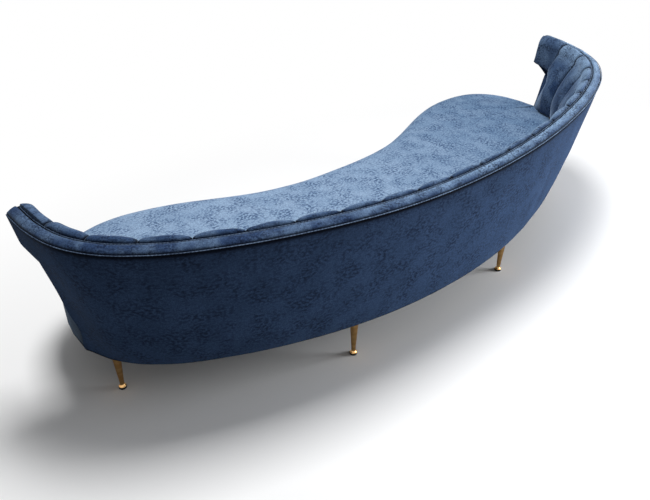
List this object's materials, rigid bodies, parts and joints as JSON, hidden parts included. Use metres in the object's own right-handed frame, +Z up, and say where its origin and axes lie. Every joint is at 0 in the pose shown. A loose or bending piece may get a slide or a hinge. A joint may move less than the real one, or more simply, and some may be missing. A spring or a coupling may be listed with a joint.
{
  "type": "sofa",
  "caption": "Crescent-shaped velvet sofa with a channelled back, a short smooth wing at each end, a crowned seat and tapered brass legs with flared feet.",
  "frame": {"origin": "on the floor, under the centre of the sofa's bounding box", "axes": "+X along the sofa's width, which is its longest extent; the seat's front faces -Y and the back stands at +Y; +Z is up"},
  "size_m": [2.926, 1.0801, 0.7917],
  "materials": {
    "seat_velvet": "crushed velvet, light blue-grey sheen",
    "back_velvet": "crushed velvet, pale crests and near-black valleys",
    "band_velvet": "crushed velvet, mottled",
    "outer_velvet": "smooth navy velvet",
    "piping": "dark velvet over cord",
    "foam": "open-cell foam with wadding",
    "plywood": "raw plywood",
    "hardwood": "sawn hardwood",
    "brass": "brushed brass",
    "steel": "zinc plated",
    "glide": "black nylon",
    "dust_cloth": "thin non-woven cloth"
  },
  "bodies": {
    "root": {"seat_cover": "seat_velvet", "channel_01": "back_velvet", "channel_02": "back_velvet", "channel_03": "back_velvet", "channel_04": "back_velvet", "channel_05": "back_velvet", "channel_06": "back_velvet", "channel_07": "back_velvet", "channel_08": "back_velvet", "channel_09": "back_velvet", "channel_10": "back_velvet", "channel_11": "back_velvet", "channel_12": "back_velvet", "channel_13": "back_velvet", "channel_14": "back_velvet", "channel_15": "back_velvet", "channel_16": "back_velvet", "channel_17": "back_velvet", "channel_18": "back_velvet", "channel_19": "back_velvet", "wing_pad_left": "back_velvet", "wing_pad_right": "back_velvet", "top_band": "band_velvet", "outer_back_cover": "outer_velvet", "end_cover_left": "outer_velvet", "end_cover_right": "outer_velvet", "outer_piping": "piping", "inner_piping": "piping", "bottom_welt": "piping", "seat_foam": "foam", "wing_core_left": "foam", "wing_core_right": "foam", "seat_deck": "plywood", "inner_liner": "plywood", "back_panel_1": "plywood", "back_panel_2": "plywood", "back_panel_3": "plywood", "back_panel_4": "plywood", "back_panel_5": "plywood", "back_panel_6": "plywood", "front_rail": "hardwood", "back_rail": "hardwood", "cross_rails": "hardwood", "leg_blocks": "hardwood", "back_uprights": "hardwood", "top_rail": "hardwood", "leg_back_1": "brass", "leg_back_2": "brass", "leg_back_3": "brass", "leg_back_4": "brass", "leg_front_1": "brass", "leg_front_2": "brass", "leg_front_3": "brass", "leg_front_4": "brass", "leg_plates": "steel", "leg_screws": "steel", "glides": "glide", "dust_cover": "dust_cloth"}
  },
  "joints": []
}
